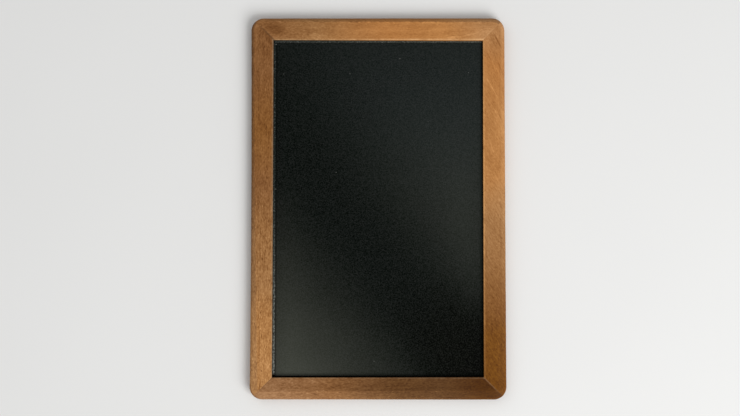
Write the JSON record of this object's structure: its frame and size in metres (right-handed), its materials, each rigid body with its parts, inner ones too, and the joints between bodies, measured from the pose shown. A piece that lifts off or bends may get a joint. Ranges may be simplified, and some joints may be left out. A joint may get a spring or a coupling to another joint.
{
  "type": "slate writing board",
  "caption": "Rectangular natural slate writing panel held in the grooves of a mitred hardwood frame with rounded corners, for writing with chalk or slate pencil.",
  "frame": {"origin": "on the back face, under the middle of the board as it lies flat with its writing face up", "axes": "+X across the board to the right, +Y up its length towards the top rail, +Z out of the writing face"},
  "size_m": [0.2, 0.3, 0.01],
  "materials": {
    "frame_wood": "oiled hardwood, satin",
    "key_wood": "plain hardwood, sanded flush",
    "slate": "rubbed natural slate, matt"
  },
  "bodies": {
    "root": {"top_rail": "frame_wood", "left_stile": "frame_wood", "bottom_rail": "frame_wood", "right_stile": "frame_wood", "slate_panel": "slate", "corner_key_top_left": "key_wood", "corner_key_top_right": "key_wood", "corner_key_bottom_left": "key_wood", "corner_key_bottom_right": "key_wood"}
  },
  "joints": []
}
